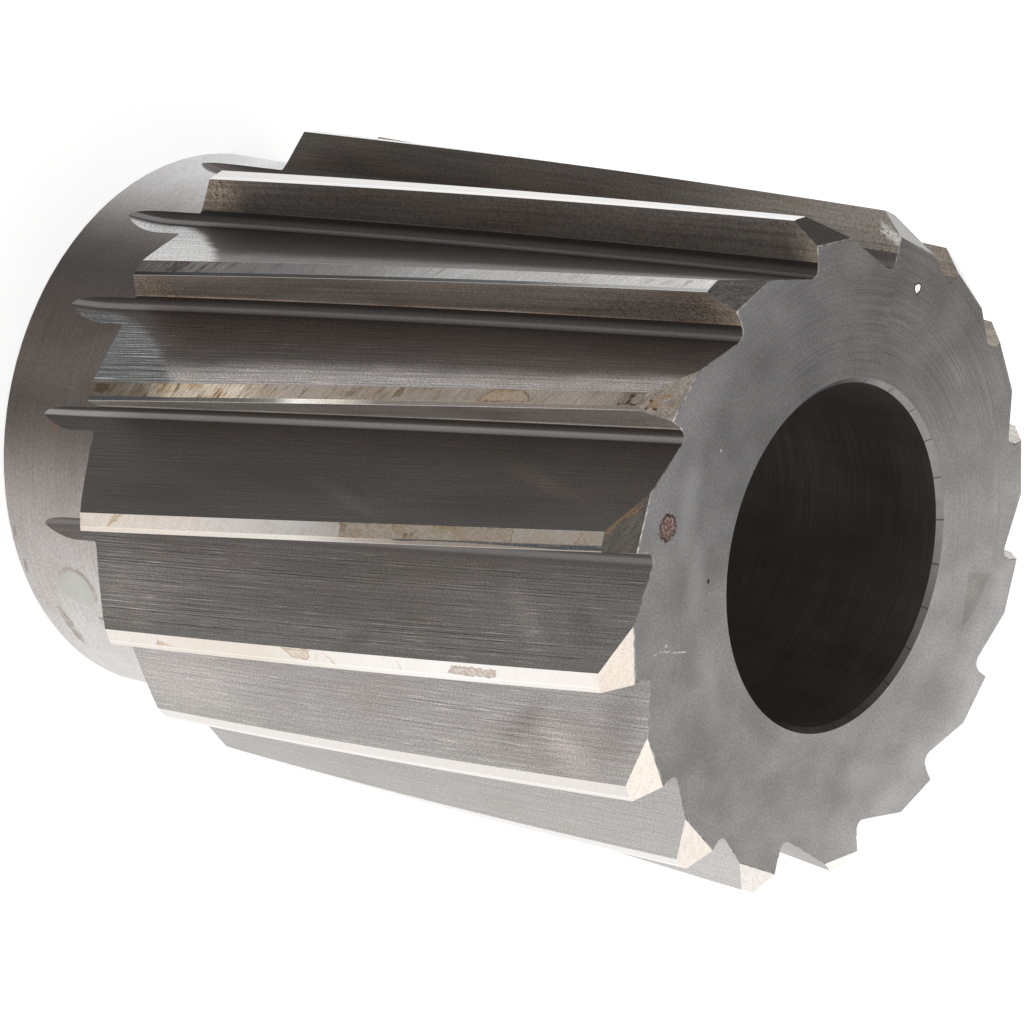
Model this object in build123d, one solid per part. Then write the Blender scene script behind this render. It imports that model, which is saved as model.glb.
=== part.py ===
# A shell reamer: one piece of high-speed steel, standing on its driving end with its cutting face up.
# The origin is the centre of the driving end face, +Z runs along the bore towards the cutting face,
# and the two driving slots open along X. Lengths are in millimetres, angles in degrees.
from build123d import *
import math
import os

# Overall body
outer_diameter = 98.425
overall_length = 127.0
neck_diameter = 85.725
neck_edge_chamfer = 0.5

# Cutting teeth: their length at full diameter, the cone behind them and the fillet at its foot
tooth_length = 103.2
tooth_end_run = 4.1
tooth_end_fillet = 0.8

# Unequal spacing, clockwise from the first tooth as seen from the cutting face. It is used twice round.
tooth_spacing = (24.8, 20.0, 20.6, 21.5, 22.9, 22.9, 23.4, 23.9)
first_tooth_angle = 206.3
helix_lead = 2160.0

# Land at the top of a tooth: a narrow round margin at the cutting edge, then a relieved flat
margin_width = 0.7
land_width = 2.8
land_relief_angle = 6.5

# Lead chamfer at the front of each tooth, backed off behind its cutting edge
lead_length = 3.4
lead_relief_angle = 8.1

# Flute: a ground cutting face above a milled root and a straight tooth back
rake_ground_depth = 5.7
rake_ground_step = 0.15
flute_back_angle = 15.5
flute_root_radius = 1.3

# Milling cutter that made the flutes, and the height above the driving end where it was lifted out
cutter_diameter = 63.5
flute_end_height = 15.7

# Tapered bore, measured at its large end in the driving face, and the two slots across that face
bore_diameter = 50.8
bore_taper = 1 / 96
bore_front_chamfer = 1.0
bore_back_chamfer = 0.8
slot_width = 12.7
slot_depth = 12.7
slot_corner_radius = 1.0

# How far a cutting tool reaches past the steel that it cuts
overcut = 1.0

# Block that backs off a lead chamfer: its reach as a share of the tooth spacing, its size in lead lengths
relief_block_reach = 0.7
relief_block_size = 4

outer_radius = outer_diameter / 2
neck_radius = neck_diameter / 2
cutter_radius = cutter_diameter / 2
tooth_bottom = overall_length - tooth_length
bore_radius_back = bore_diameter / 2
bore_radius_front = bore_radius_back - bore_taper * overall_length / 2


def polar_point(radius, angle):
    """Point of the XY plane at this radius and angle from +X."""
    return Vector(radius, 0, 0).rotate(Axis.Z, angle)


def helix_angle_at(height):
    """Turn of a tooth at this height from its place in the cutting face. The helix is left-handed."""
    return 360 * (overall_length - height) / helix_lead


def turned_blank():
    """Body of revolution: neck, cone behind the teeth, full diameter, lead cone and tapered bore."""
    outline = [
        (bore_radius_back + bore_back_chamfer, 0),
        (neck_radius - neck_edge_chamfer, 0),
        (neck_radius, neck_edge_chamfer),
        (neck_radius, tooth_bottom - tooth_end_run),
        (outer_radius, tooth_bottom),
        (outer_radius, overall_length - lead_length),
        (outer_radius - lead_length, overall_length),
        (bore_radius_front + bore_front_chamfer, overall_length),
        (bore_radius_front, overall_length - bore_front_chamfer),
        (bore_radius_back, bore_back_chamfer),
    ]
    half_section = make_face(Plane.XZ * Polyline(outline, close=True))
    shoulder = Vector(neck_radius, 0, tooth_bottom - tooth_end_run)
    foot = half_section.vertices().sort_by_distance(shoulder)[0]
    return revolve(fillet(foot, tooth_end_fillet), Axis.Z)


def flute_section(spacing):
    """Face that one flute removes, drawn with the cutting face of the tooth behind it on the X axis.

    It runs down that ground cutting face, over its small step, round the milled root, up the straight
    back of the tooth ahead, and over that tooth's relieved land until it leaves the round margin. In a
    shallow flute the ground face stops just above the round of the root.
    """
    margin_radial = math.sqrt(outer_radius**2 - margin_width**2)
    relief_slope = math.tan(math.radians(land_relief_angle))
    heel_radial = margin_radial - (land_width - margin_width) * relief_slope
    clear_radial = margin_radial + (overcut + margin_width) * relief_slope
    heel = Vector(heel_radial, -land_width, 0).rotate(Axis.Z, spacing)
    clear = Vector(clear_radial, overcut, 0).rotate(Axis.Z, spacing)
    back_slope = math.tan(math.radians(flute_back_angle))
    root_radial = heel.X - (heel.Y - rake_ground_step) * back_slope
    root_tangent = flute_root_radius / math.tan(math.radians(90 - flute_back_angle) / 2)
    shallowest_step = root_radial + root_tangent + rake_ground_step
    step_radial = max(outer_radius - rake_ground_depth, shallowest_step)
    span = spacing + math.degrees(overcut / outer_radius)
    outside = (outer_radius + overcut) / math.cos(math.radians(span / 2))
    outline = [
        (outside, 0),
        (step_radial, 0),
        (step_radial, rake_ground_step),
        (root_radial, rake_ground_step),
        heel,
        clear,
        polar_point(outside, span),
    ]
    section = make_face(Polyline(outline, close=True))
    root = section.vertices().sort_by_distance(Vector(root_radial, rake_ground_step, 0))[0]
    return fillet(root, flute_root_radius)


def flute_tools(tooth_angle, spacing):
    """The helical flute ahead of a tooth, and its run-out where the round cutter leaves the neck."""
    section = flute_section(spacing)
    root_radius = min(vertex.center().length for vertex in section.vertices())
    start = Rot(0, 0, tooth_angle + helix_angle_at(flute_end_height)) * section
    top = overall_length + overcut
    twist = helix_angle_at(top) - helix_angle_at(flute_end_height)
    flute = Solid.extrude_linear_with_rotation(
        (Pos(0, 0, flute_end_height) * start).face(),
        center=(0, 0, flute_end_height),
        normal=(0, 0, top - flute_end_height),
        angle=twist,
    )
    lift = max(neck_radius - root_radius, 0) + overcut
    run_out = math.sqrt(2 * cutter_radius * lift - lift**2)
    sections = []
    for share in (0, 0.25, 0.5, 0.75, 1):
        drop = run_out * share
        raised = cutter_radius - math.sqrt(cutter_radius**2 - drop**2)
        height = flute_end_height - drop
        angle = tooth_angle + helix_angle_at(height)
        moved = Pos(polar_point(raised, angle) + Vector(0, 0, height)) * Rot(0, 0, angle) * section
        sections.append(moved.face().outer_wire())
    return [flute, Solid.make_loft(sections)]


def lead_relief_tool(tooth_angle, spacing):
    """Block whose underside is the flat that backs off a tooth's lead chamfer behind its cutting edge.

    It lies over the flute behind that tooth, and ends before it reaches the next one.
    """
    reach = relief_block_reach * outer_radius * math.radians(spacing)
    size = relief_block_size * lead_length
    front_corner = polar_point(outer_radius - lead_length, tooth_angle)
    front_corner += Vector(0, 0, overall_length)
    rear_height = overall_length - lead_length
    rear_corner = polar_point(outer_radius, tooth_angle + helix_angle_at(rear_height))
    rear_corner += Vector(0, 0, rear_height)
    behind = polar_point(1, tooth_angle - 90 - lead_relief_angle)
    along = rear_corner - front_corner
    flat = Plane(origin=front_corner, x_dir=behind, z_dir=behind.cross(along))
    return flat * Box(reach, size, size, align=(Align.MIN, Align.CENTER, Align.MIN))


def driving_slot_tool():
    """Bar that mills both driving slots straight across the driving end, with rounded floor corners."""
    bar_height = slot_depth + overcut
    bar = Box(outer_diameter, slot_width, bar_height, align=(Align.CENTER, Align.CENTER, Align.MAX))
    floor_edges = bar.edges().filter_by(Axis.X).group_by(Axis.Z)[-1]
    return Pos(0, 0, slot_depth) * fillet(floor_edges, slot_corner_radius)


def reamer_body():
    """The blank with its flutes milled, its lead chamfers backed off and its driving slots cut."""
    tools = [driving_slot_tool()]
    scale = 180 / sum(tooth_spacing)
    around = [spacing * scale for spacing in tooth_spacing * 2]
    tooth_angle = first_tooth_angle
    for ahead, behind in zip(around, around[1:] + around[:1]):
        tooth_angle -= ahead
        tools += flute_tools(tooth_angle, ahead)
        tools.append(lead_relief_tool(tooth_angle, behind))
    return turned_blank() - tools


os.makedirs("parts", exist_ok=True)
body = reamer_body()
export_step(body, "parts/reamer_body.step")
print("reamer_body volume", round(body.volume), "mm3")
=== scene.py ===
# A shell reamer of high-speed steel, standing on its driving end with its cutting face up.
# Lengths are in metres and angles in radians unless a name says otherwise. The frame is the CAD's:
# origin at the centre of the driving end, +Z along the bore.
import math

import bpy
import numpy as np
from mathutils import Matrix, Vector
from mathutils.geometry import tessellate_polygon


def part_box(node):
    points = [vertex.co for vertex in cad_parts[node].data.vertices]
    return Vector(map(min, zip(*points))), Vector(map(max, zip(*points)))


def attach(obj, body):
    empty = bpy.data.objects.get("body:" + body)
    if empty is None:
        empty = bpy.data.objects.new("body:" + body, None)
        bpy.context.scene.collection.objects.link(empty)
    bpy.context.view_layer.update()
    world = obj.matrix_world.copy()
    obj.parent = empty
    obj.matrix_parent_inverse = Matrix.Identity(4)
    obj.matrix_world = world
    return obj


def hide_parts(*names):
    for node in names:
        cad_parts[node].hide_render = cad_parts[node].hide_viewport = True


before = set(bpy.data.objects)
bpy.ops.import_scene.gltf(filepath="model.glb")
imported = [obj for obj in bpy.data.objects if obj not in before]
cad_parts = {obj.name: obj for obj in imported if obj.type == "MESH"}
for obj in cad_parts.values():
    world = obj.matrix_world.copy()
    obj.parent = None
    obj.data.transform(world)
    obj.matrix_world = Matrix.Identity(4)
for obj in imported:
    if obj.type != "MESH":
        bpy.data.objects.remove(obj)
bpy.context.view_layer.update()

mm = 0.001


# Camera: a long lens a little above the reamer, rolled so that the cutting face looks to the right.
# Its place, turn and focal length are those of the photograph.
camera_data = bpy.data.cameras.new("camera")
camera_data.sensor_width = 36
camera_data.lens = 150.44
camera_data.clip_start = 0.01
camera = bpy.data.objects.new("camera", camera_data)
camera_place = Vector((-0.00005, -0.49626, 0.47451))
camera_right = Vector((-0.20907, 0.62152, 0.75498)).normalized()
camera_up = Vector((-0.97788, -0.12824, -0.16523)).normalized()
camera_axes = Matrix((camera_right, camera_up, camera_right.cross(camera_up))).transposed()
camera.matrix_world = Matrix.Translation(camera_place) @ camera_axes.to_4x4()
bpy.context.scene.collection.objects.link(camera)
bpy.context.scene.camera = camera


# The turned blank: a neck with a chamfered edge, a round foot, and a cone up to the full diameter.
# It is one bar of high-speed steel, turned between centres on an arbor.
low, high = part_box("reamer_body")
overall_length = high.z - low.z
outer_radius = (high.y - low.y) / 2
neck_radius = 42.8625 * mm
neck_edge = 0.5 * mm
cone_foot = 19.7 * mm
cone_top = 23.8 * mm
foot_radius = 0.8 * mm
cone_slope = (outer_radius - neck_radius) / (cone_top - cone_foot)
foot_reach = foot_radius * math.tan(math.atan(cone_slope) / 2)
foot_start = cone_foot - foot_reach
foot_end = cone_foot + foot_reach * math.cos(math.atan(cone_slope))


def blank_radius(z):
    """Radius of the blank at height z below the teeth.

    It is the neck, drawn in by z under the edge chamfer, then a quarter-round foot that is tangent to
    both sides, then a cone whose radius grows by cone_slope for each metre of height.
    """
    chamfer = neck_radius - np.clip(neck_edge - z, 0, None)
    rise = np.clip(z - foot_start, 0, foot_radius)
    foot = neck_radius + foot_radius - np.sqrt(foot_radius**2 - rise**2)
    cone = neck_radius + (z - cone_foot) * cone_slope
    return np.where(z < foot_start, chamfer, np.where(z < foot_end, foot, cone))


# Teeth and flutes: sixteen unequally spaced teeth on a slow left-hand helix, milled with a round cutter
# that was lifted out over the neck. Cutting faces and lands are ground afterwards.
tooth_count = 16
first_tooth = math.radians(206.3)
spacing = np.radians([24.8, 20.0, 20.6, 21.5, 22.9, 22.9, 23.4, 23.9] * 2)
helix_lead = 2160 * mm
margin_width = 0.7 * mm
land_width = 2.8 * mm
land_relief = math.tan(math.radians(6.5))
lead_length = 3.4 * mm
lead_relief = math.tan(math.radians(8.1))
cutting_face_depth = 5.7 * mm
cutting_face_step = 0.15 * mm
back_slope = math.radians(15.5)
root_radius = 1.3 * mm
cutter_radius = 31.75 * mm
cutter_lift_height = 15.7 * mm

tooth_angle = (first_tooth - np.concatenate(([0], np.cumsum(spacing[:-1]))))[:, None]
flute_angle = tooth_angle - spacing[:, None]

margin_end = math.sqrt(outer_radius**2 - margin_width**2)
heel_radial = margin_end - (land_width - margin_width) * land_relief
heel = (heel_radial - 1j * land_width) * np.exp(1j * spacing[:, None])
root_corner = heel.real - (heel.imag - cutting_face_step) * math.tan(back_slope)
root_centre_radial = root_corner + root_radius / math.tan((math.pi / 2 - back_slope) / 2)
root_centre = root_centre_radial + 1j * (cutting_face_step + root_radius)
root_start = root_centre + root_radius * np.exp(1j * (math.pi - back_slope))
root_end = root_centre - 1j * root_radius
step_radial = np.maximum(outer_radius - cutting_face_depth, root_centre_radial + cutting_face_step)
step_outer = step_radial + 1j * cutting_face_step
flute_marks = [heel, root_start, root_end, step_outer, step_radial + 0j, outer_radius + 0 * heel]
root_sweep = math.pi / 2 + back_slope
flute_lengths = [abs(b - a) for a, b in zip(flute_marks, flute_marks[1:])]
flute_lengths[1] = root_radius * root_sweep + 0 * root_centre_radial


def helix_turn(z):
    """Turn of the teeth at height z from their place in the cutting face: one lead is one whole turn."""
    return 2 * math.pi * (overall_length - z) / helix_lead


def flute_point(q):
    """Point of each flute's section as x + iy, with x along the cutting face of the tooth behind it.

    q runs 0 to 1 straight down the back of the tooth ahead, 1 to 2 round the root, 2 to 3 up the milled
    wall, 3 to 4 over the small step and 4 to 5 up the ground cutting face: the sum of five legs, each
    taken as far as q has gone into it.
    """
    leg = [np.clip(q - k, 0, 1) for k in range(5)]
    point = root_centre + root_radius * np.exp(1j * (math.pi - back_slope + root_sweep * leg[1]))
    point = point + (heel - root_start) * (1 - leg[0])
    for k in (2, 3, 4):
        point = point + (flute_marks[k + 1] - flute_marks[k]) * leg[k]
    return point


def flute_distance(q):
    """Distance along the flute's section from the heel of the tooth ahead, leg by leg."""
    return sum(np.clip(q - k, 0, 1) * flute_lengths[k] for k in range(5))


def land_point(back):
    """Point at a distance back from the cutting edge over a tooth's top: round margin, then relieved flat."""
    margin = np.sqrt(outer_radius**2 - np.minimum(back, margin_width) ** 2)
    return margin - np.clip(back - margin_width, 0, None) * land_relief - 1j * back


def flute_ends(limit, lift):
    """Where each lifted flute section leaves a disc of radius limit, as the lowest and highest q inside it.

    The distance from the axis falls down the back and rises up the wall, so the ends are the first and
    the last of many samples that lie inside the disc, moved to the radius itself between two samples.
    A flute that lies wholly outside gives the q of its innermost point twice.
    """
    samples = np.linspace(0, 5, 1501)
    radius = abs(flute_point(samples)[None] + lift[:, None, None])
    inside = radius < limit[:, None, None]
    inmost = radius.argmin(-1)
    closed = ~inside.any(-1)
    first = np.where(closed, inmost, inside.argmax(-1))
    last = np.where(closed, inmost, len(samples) - 1 - inside[..., ::-1].argmax(-1))

    def refined(index, step):
        near = np.take_along_axis(radius, index[..., None], -1)[..., 0]
        beyond = np.clip(index + step, 0, len(samples) - 1)
        far = np.take_along_axis(radius, beyond[..., None], -1)[..., 0]
        share = (limit[:, None] - near) / np.where(far == near, 1, far - near)
        moved = samples[index] + (samples[beyond] - samples[index]) * np.clip(share, 0, 1)
        return np.where(closed | (far == near), samples[index], moved)

    return refined(first, -1), refined(last, 1)


def flute_columns(q_low, q_high):
    """q of every mesh column of a flute, with each leg's columns spread over what is left of that leg."""
    low_end = np.clip(leg_index, q_low[..., None], q_high[..., None])
    high_end = np.clip(leg_index + 1, q_low[..., None], q_high[..., None])
    return low_end + (high_end - low_end) * leg_share


leg_columns = (5, 7, 1, 1, 3)
leg_index = np.concatenate([np.full(n, k) for k, n in enumerate(leg_columns)] + [[4]])
leg_share = np.concatenate([np.arange(n) / n for n in leg_columns] + [[1.0]])
land_back = np.concatenate((
    np.linspace(0, margin_width, 3), np.linspace(margin_width, land_width, 5)[1:]
))
land_share = land_back / land_width
land_columns = len(land_back) - 1
flute_count = sum(leg_columns)


def ring(top, flute, z_top, z_flute, along_top, along_flute):
    """Rows of the toothed surface as arrays of place and of distance across, tooth after tooth.

    The top of each tooth turns with that tooth and the flute behind it with the next one, both by their
    place in the cutting face plus the helix turn at their own height.
    """
    turned_top = top * np.exp(1j * (tooth_angle + helix_turn(z_top)))
    turned_flute = flute * np.exp(1j * (flute_angle + helix_turn(z_flute)))
    plan = np.concatenate((turned_top[..., :-1], turned_flute[..., :-1]), -1)
    height = np.concatenate((z_top[..., :-1], z_flute[..., :-1]), -1)
    start = np.concatenate((along_top[..., :-1], along_flute[..., :-1]), -1)
    end = np.concatenate((along_top[..., 1:], along_flute[..., 1:]), -1)
    place = np.stack((plan.real, plan.imag, height), -1)
    rows = len(place)
    return place.reshape(rows, -1, 3), start.reshape(rows, -1), end.reshape(rows, -1)


def neck_rows(z):
    """Rows at the heights z below the teeth: the blank's circle wherever no flute cuts into it."""
    z = np.asarray(z, float)
    limit = blank_radius(z)
    drop = np.clip(cutter_lift_height - z, 0, None)
    lift = cutter_radius - np.sqrt(cutter_radius**2 - drop**2)
    q = flute_columns(*flute_ends(limit, lift))
    flute = flute_point(q) + lift[:, None, None]
    flute = flute * np.minimum(1, limit[:, None, None] / abs(flute))
    start = np.roll(np.angle(flute[..., -1:]), 1, 1)
    end = np.angle(flute[..., :1]) - spacing[:, None]
    turn = start + (end - start) * land_share
    top = limit[:, None, None] * np.exp(1j * turn)
    z_top = z[:, None, None] + 0 * turn
    return ring(top, flute, z_top, z[:, None, None] + 0 * q, -turn * limit[:, None, None], flute_distance(q))


def tooth_rows(share):
    """Rows between the cone and the lead chamfer, at this share of the way. The section is whole here."""
    share = np.asarray(share, float)[:, None, None]
    q = flute_columns(np.zeros(tooth_count), np.full(tooth_count, 5.0))[None] + 0 * share
    top = (land_point(land_back) + 0 * tooth_angle)[None] + 0 * share
    front_top = overall_length - (top.real - lead_edge + lead_relief * land_back)
    front_flute = front_top[..., -1:] + (front_top[:, :1, :1] - front_top[..., -1:]) * q / 5
    z_top = cone_top + (front_top - cone_top) * share
    z_flute = cone_top + (front_flute - cone_top) * share
    return ring(top, flute_point(q), z_top, z_flute, land_back + 0 * z_top, flute_distance(q))


def lead_rows(share):
    """Rows over the lead chamfer, where share is 1 at the shoulder and 0 in the cutting face.

    Behind a cutting edge whose radius is lead_edge plus the depth, the chamfer is flat: its radial
    height falls by lead_relief for each metre back, until it meets the straight back of the tooth.
    """
    share = np.asarray(share, float)[:, None, None]
    edge_depth = lead_length * share
    heel_depth = (heel_radial - lead_edge + lead_relief * land_width) * share
    heel_own = heel * np.exp(-1j * spacing[:, None])
    down = (root_start - heel) * np.exp(-1j * spacing[:, None])
    gap = heel_own.real - lead_edge - heel_depth - lead_relief * heel_own.imag
    q_low = gap / (lead_relief * down.imag - down.real)
    q_high = 4 + (lead_edge + edge_depth - step_radial) / (outer_radius - step_radial)
    q = flute_columns(q_low[..., 0], (q_high + 0 * q_low)[..., 0])
    edge = lead_edge + edge_depth + 0j
    corner = heel_own + down * q_low
    top = edge + (corner - edge) * land_share
    z_top = overall_length - (edge_depth + (heel_depth - edge_depth) * land_share) + 0 * top.real
    spread = (q - q[..., :1]) / (q[..., -1:] - q[..., :1])
    z_flute = overall_length - (heel_depth + (edge_depth - heel_depth) * spread)
    return ring(top, flute_point(q), z_top, z_flute, abs(top - edge), flute_distance(q))


lead_edge = outer_radius - lead_length
edge_break = 0.1 * mm
fine_rows_from = 5 * mm
fine_row_step = 0.25 * mm
neck_heights = np.concatenate((
    [0, neck_edge],
    np.linspace(neck_edge, fine_rows_from, 5)[1:],
    np.arange(fine_rows_from + fine_row_step, cutter_lift_height, fine_row_step),
    np.linspace(cutter_lift_height, foot_start, 4),
    np.linspace(foot_start, foot_end, 6)[1:],
    np.linspace(foot_end, cone_top, 6)[1:-1],
))
tooth_shares = np.linspace(0, 1, 41)
lead_shares = (0.75, 0.5, 0.25, edge_break / lead_length)
zones = (neck_rows(neck_heights), tooth_rows(tooth_shares), lead_rows(lead_shares))
place, across_start, across_end = (np.concatenate(arrays) for arrays in zip(*zones))


# End faces and bore: both ends are faced off square, and a tapered bore for the arbor runs through them,
# with a small chamfer at each mouth. The cutting face's outline has its sharp edge broken with a stone.
bore_radius_back = 25.4 * mm
bore_taper = 1 / 96
bore_radius_front = bore_radius_back - overall_length * bore_taper / 2
bore_front_chamfer = 0.8 * mm
bore_back_chamfer = 0.8 * mm
bore_columns = 192


def inset(outline, distance):
    """Closed clockwise outline in the complex plane, moved inwards by a distance.

    Each corner moves along the sum of its two edges' inward normals over one plus their dot product, so
    that both edges move by the whole distance.
    """
    edge = np.roll(outline, -1) - outline
    inward = -1j * edge / abs(edge)
    before = np.roll(inward, 1)
    return outline + distance * (inward + before) / (1 + (inward * before.conj()).real)


def bore_rows():
    """Circles up the bore from its back mouth to its front mouth: chamfer, slow cone, chamfer.

    The first number across is the turn, counterclockwise, and the second is the row's height, whose
    radius is read off the bore's straight-sided profile.
    """
    heights = (0, bore_back_chamfer, overall_length - bore_front_chamfer, overall_length)
    profile = (
        bore_radius_back + bore_back_chamfer,
        bore_radius_back,
        bore_radius_front,
        bore_radius_front + bore_front_chamfer,
    )
    z = np.concatenate((heights[:1], np.linspace(heights[1], heights[2], 12), heights[3:]))
    turn = np.linspace(0, 2 * math.pi, bore_columns + 1)
    radius = np.interp(z, heights, profile)[:, None]
    return np.stack((radius * np.cos(turn), radius * np.sin(turn), z[:, None] + 0 * turn), -1), turn


def ring_quads(index):
    """Vertex indices of the quads between rising rows of indices. A row that runs clockwise as seen from
    above faces them away from the axis, and one that runs counterclockwise towards it."""
    corners = (index[:-1, :-1], index[1:, :-1], index[1:, 1:], index[:-1, 1:])
    return np.stack(corners, -1).reshape(-1, 4)


def ring_uv(start, end, height):
    """Distance across and height at each quad's corners, in the order of ring_quads. A quad's left side
    has the start distances and its right side the end distances."""
    beyond = np.roll(height, -1, 1)
    left = np.stack((start, height), -1)
    right = np.stack((end, beyond), -1)
    return np.stack((left[:-1], left[1:], right[1:], right[:-1]), 2).reshape(-1, 4, 2)


def flat_cap(outer, inner, upward):
    """Triangles between two closed rings of vertex indices in one plane, as quads that repeat a corner."""
    rings = [[Vector(vertices[i]) for i in ring_indices] for ring_indices in (outer, inner)]
    corners = np.concatenate((outer, inner))[np.array(tessellate_polygon(rings))]
    a, b, c = (vertices[corners[:, k], :2] for k in range(3))
    doubled_area = (b - a)[:, 0] * (c - a)[:, 1] - (b - a)[:, 1] * (c - a)[:, 0]
    if (doubled_area.sum() > 0) != upward:
        corners = corners[:, ::-1]
    return np.concatenate((corners, corners[:, 2:]), 1)


# Skin of the body: the toothed surface, the end faces and the bore joined into one closed mesh. Each face
# keeps its finish, its smooth group and its tooth, and each corner its distance across and its height.
FINISHES = (
    "turned", "tooth_end", "land", "lead_chamfer", "milled", "cutting_face",
    "front_face", "edge_break", "bore_chamfer", "bore", "driving_end",
)
TURNED, TOOTH_END, LAND, LEAD_CHAMFER, MILLED, CUTTING_FACE = range(6)
FRONT_FACE, EDGE_BREAK, BORE_CHAMFER, BORE, DRIVING_END = range(6, 11)
APART = len(FINISHES)
weld_distance = 0.002 * mm

outline = lead_rows((0,))[0][0]
face_plan = inset(outline[:, 0] + 1j * outline[:, 1], edge_break)
face_ring = np.stack((face_plan.real, face_plan.imag, outline[:, 2]), -1)
skin = np.concatenate((place, face_ring[None]))
bore_place, bore_turn = bore_rows()
vertices = np.concatenate((skin.reshape(-1, 3), bore_place.reshape(-1, 3)))
_, kept, merged = np.unique(
    np.round(vertices / weld_distance).astype(np.int64), axis=0, return_index=True, return_inverse=True
)
vertices = vertices[kept]
merged = merged.ravel()

skin_count = skin[..., 0].size
skin_index = merged[:skin_count].reshape(skin.shape[:2])
bore_index = merged[skin_count:].reshape(bore_place.shape[:2])
foot_ring = skin_index[0][skin_index[0] != np.roll(skin_index[0], 1)]

row = np.arange(len(place))[:, None]
column = np.arange(place.shape[1])[None, :] % (land_columns + flute_count)
neck_end = np.searchsorted(neck_heights, foot_start)
cone_end = len(neck_heights)
land_end = cone_end + len(tooth_shares) - 1
on_top = column < land_columns
top_finish = np.select(
    [row < neck_end, row < cone_end, row < land_end], [TURNED, TOOTH_END, LAND], LEAD_CHAMFER
)
cutting_column = land_columns + sum(leg_columns[:3])
flute_finish = np.where(column < cutting_column, MILLED, CUTTING_FACE) + 0 * row
skin_finish = np.where(row < len(place) - 1, np.where(on_top, top_finish, flute_finish), EDGE_BREAK)
skin_group = np.where(skin_finish == TOOTH_END, TURNED, skin_finish)
in_margin = (skin_finish == LAND) & (land_back[np.minimum(column, land_columns)] < margin_width)
on_step = (skin_finish == CUTTING_FACE) & (column == cutting_column)
edge_chamfer = on_top & (row == 0)
skin_group = skin_group + APART * (in_margin | on_step | edge_chamfer)
skin_tooth = np.repeat(np.arange(tooth_count), land_columns + flute_count)[None, :] + 0 * row

bore_row = np.arange(len(bore_place) - 1)[:, None] + np.zeros(bore_columns, int)
at_mouth = (bore_row == 0) | (bore_row == len(bore_place) - 2)
bore_faces = np.where(at_mouth, BORE_CHAMFER, BORE)
bore_group = bore_faces + APART * (bore_row == 0)
bore_start = bore_turn[None, :-1] * bore_radius_back + 0 * bore_place[:, 1:, 2]
bore_end = bore_turn[None, 1:] * bore_radius_back + 0 * bore_place[:, 1:, 2]

front_cap = flat_cap(skin_index[-1], bore_index[-1, :-1], True)
back_cap = flat_cap(foot_ring, bore_index[0, :-1], False)
skin_quads = ring_quads(np.concatenate((skin_index, skin_index[:, :1]), 1))
skin_uv = ring_uv(*(np.concatenate((side, side[-1:])) for side in (across_start, across_end)), skin[..., 2])
bore_uv = ring_uv(bore_start, bore_end, bore_place[:, 1:, 2])
cap_finish = np.repeat((FRONT_FACE, DRIVING_END), (len(front_cap), len(back_cap)))
quads = np.concatenate((skin_quads, ring_quads(bore_index), front_cap, back_cap))
corner_uv = np.concatenate((skin_uv, bore_uv, vertices[front_cap][..., :2], vertices[back_cap][..., :2]))
finish = np.concatenate((skin_finish.ravel(), bore_faces.ravel(), cap_finish))
group = np.concatenate((skin_group.ravel(), bore_group.ravel(), cap_finish))
tooth = np.concatenate((skin_tooth.ravel(), np.zeros(len(quads) - skin_tooth.size, int)))

# A corner that repeats the next one is left out, and a face that keeps fewer than three corners with it.
own_corner = quads != np.roll(quads, -1, 1)
real = own_corner.sum(1) > 2
own_corner &= real[:, None]
sides = own_corner[real].sum(1)
body_mesh = bpy.data.meshes.new("steel_body")
body_mesh.vertices.add(len(vertices))
body_mesh.vertices.foreach_set("co", vertices.astype(np.float32).ravel())
body_mesh.loops.add(int(sides.sum()))
body_mesh.loops.foreach_set("vertex_index", quads[own_corner].astype(np.int32))
body_mesh.polygons.add(len(sides))
body_mesh.polygons.foreach_set("loop_start", (np.cumsum(sides) - sides).astype(np.int32))
body_mesh.polygons.foreach_set("material_index", finish[real].astype(np.int32))
for label, values in (("group", group), ("tooth", tooth)):
    layer = body_mesh.attributes.new(label, "FLOAT", "FACE")
    layer.data.foreach_set("value", values[real].astype(np.float32))
layer = body_mesh.uv_layers.new(name="across_height")
layer.data.foreach_set("uv", corner_uv[own_corner].astype(np.float32).ravel())
body_mesh.update(calc_edges=True)
body = bpy.data.objects.new("steel_body", body_mesh)
bpy.context.scene.collection.objects.link(body)


# Driving slots: milled straight across the driving end, with rounded floor corners, for the arbor's lugs.
slot_width = 12.7 * mm
slot_depth = 12.7 * mm
slot_corner = 1.0 * mm
slot_overcut = 1.0 * mm


def slot_bar():
    """Bar that fills both slots: half a width out, a quarter round over each top corner, carried along X."""
    foot = slot_width / 2 - 1j * slot_overcut
    centre = slot_width / 2 - slot_corner + 1j * (slot_depth - slot_corner)
    corner = centre + slot_corner * np.exp(1j * np.linspace(0, math.pi / 2, 7))
    half = np.concatenate(([foot], corner))
    profile = np.concatenate((half, -half[::-1].conj()))
    x = np.array([[-outer_radius], [outer_radius]])
    points = np.stack((x + 0 * profile.real, profile.real + 0 * x, profile.imag + 0 * x), -1)
    near = np.arange(len(profile))
    far = near + len(profile)
    sides = np.stack((near, np.roll(near, -1), np.roll(far, -1), far), -1)
    mesh = bpy.data.meshes.new("slot_bar")
    mesh.from_pydata(points.reshape(-1, 3), [], [*sides.tolist(), near[::-1].tolist(), far.tolist()])
    for label in ("group", "tooth"):
        mesh.attributes.new(label, "FLOAT", "FACE")
    mesh.attributes["group"].data.foreach_set("value", np.arange(len(mesh.polygons)) + 2.0 * APART)
    mesh.polygons.foreach_set("material_index", np.full(len(mesh.polygons), DRIVING_END, np.int32))
    return mesh


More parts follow.
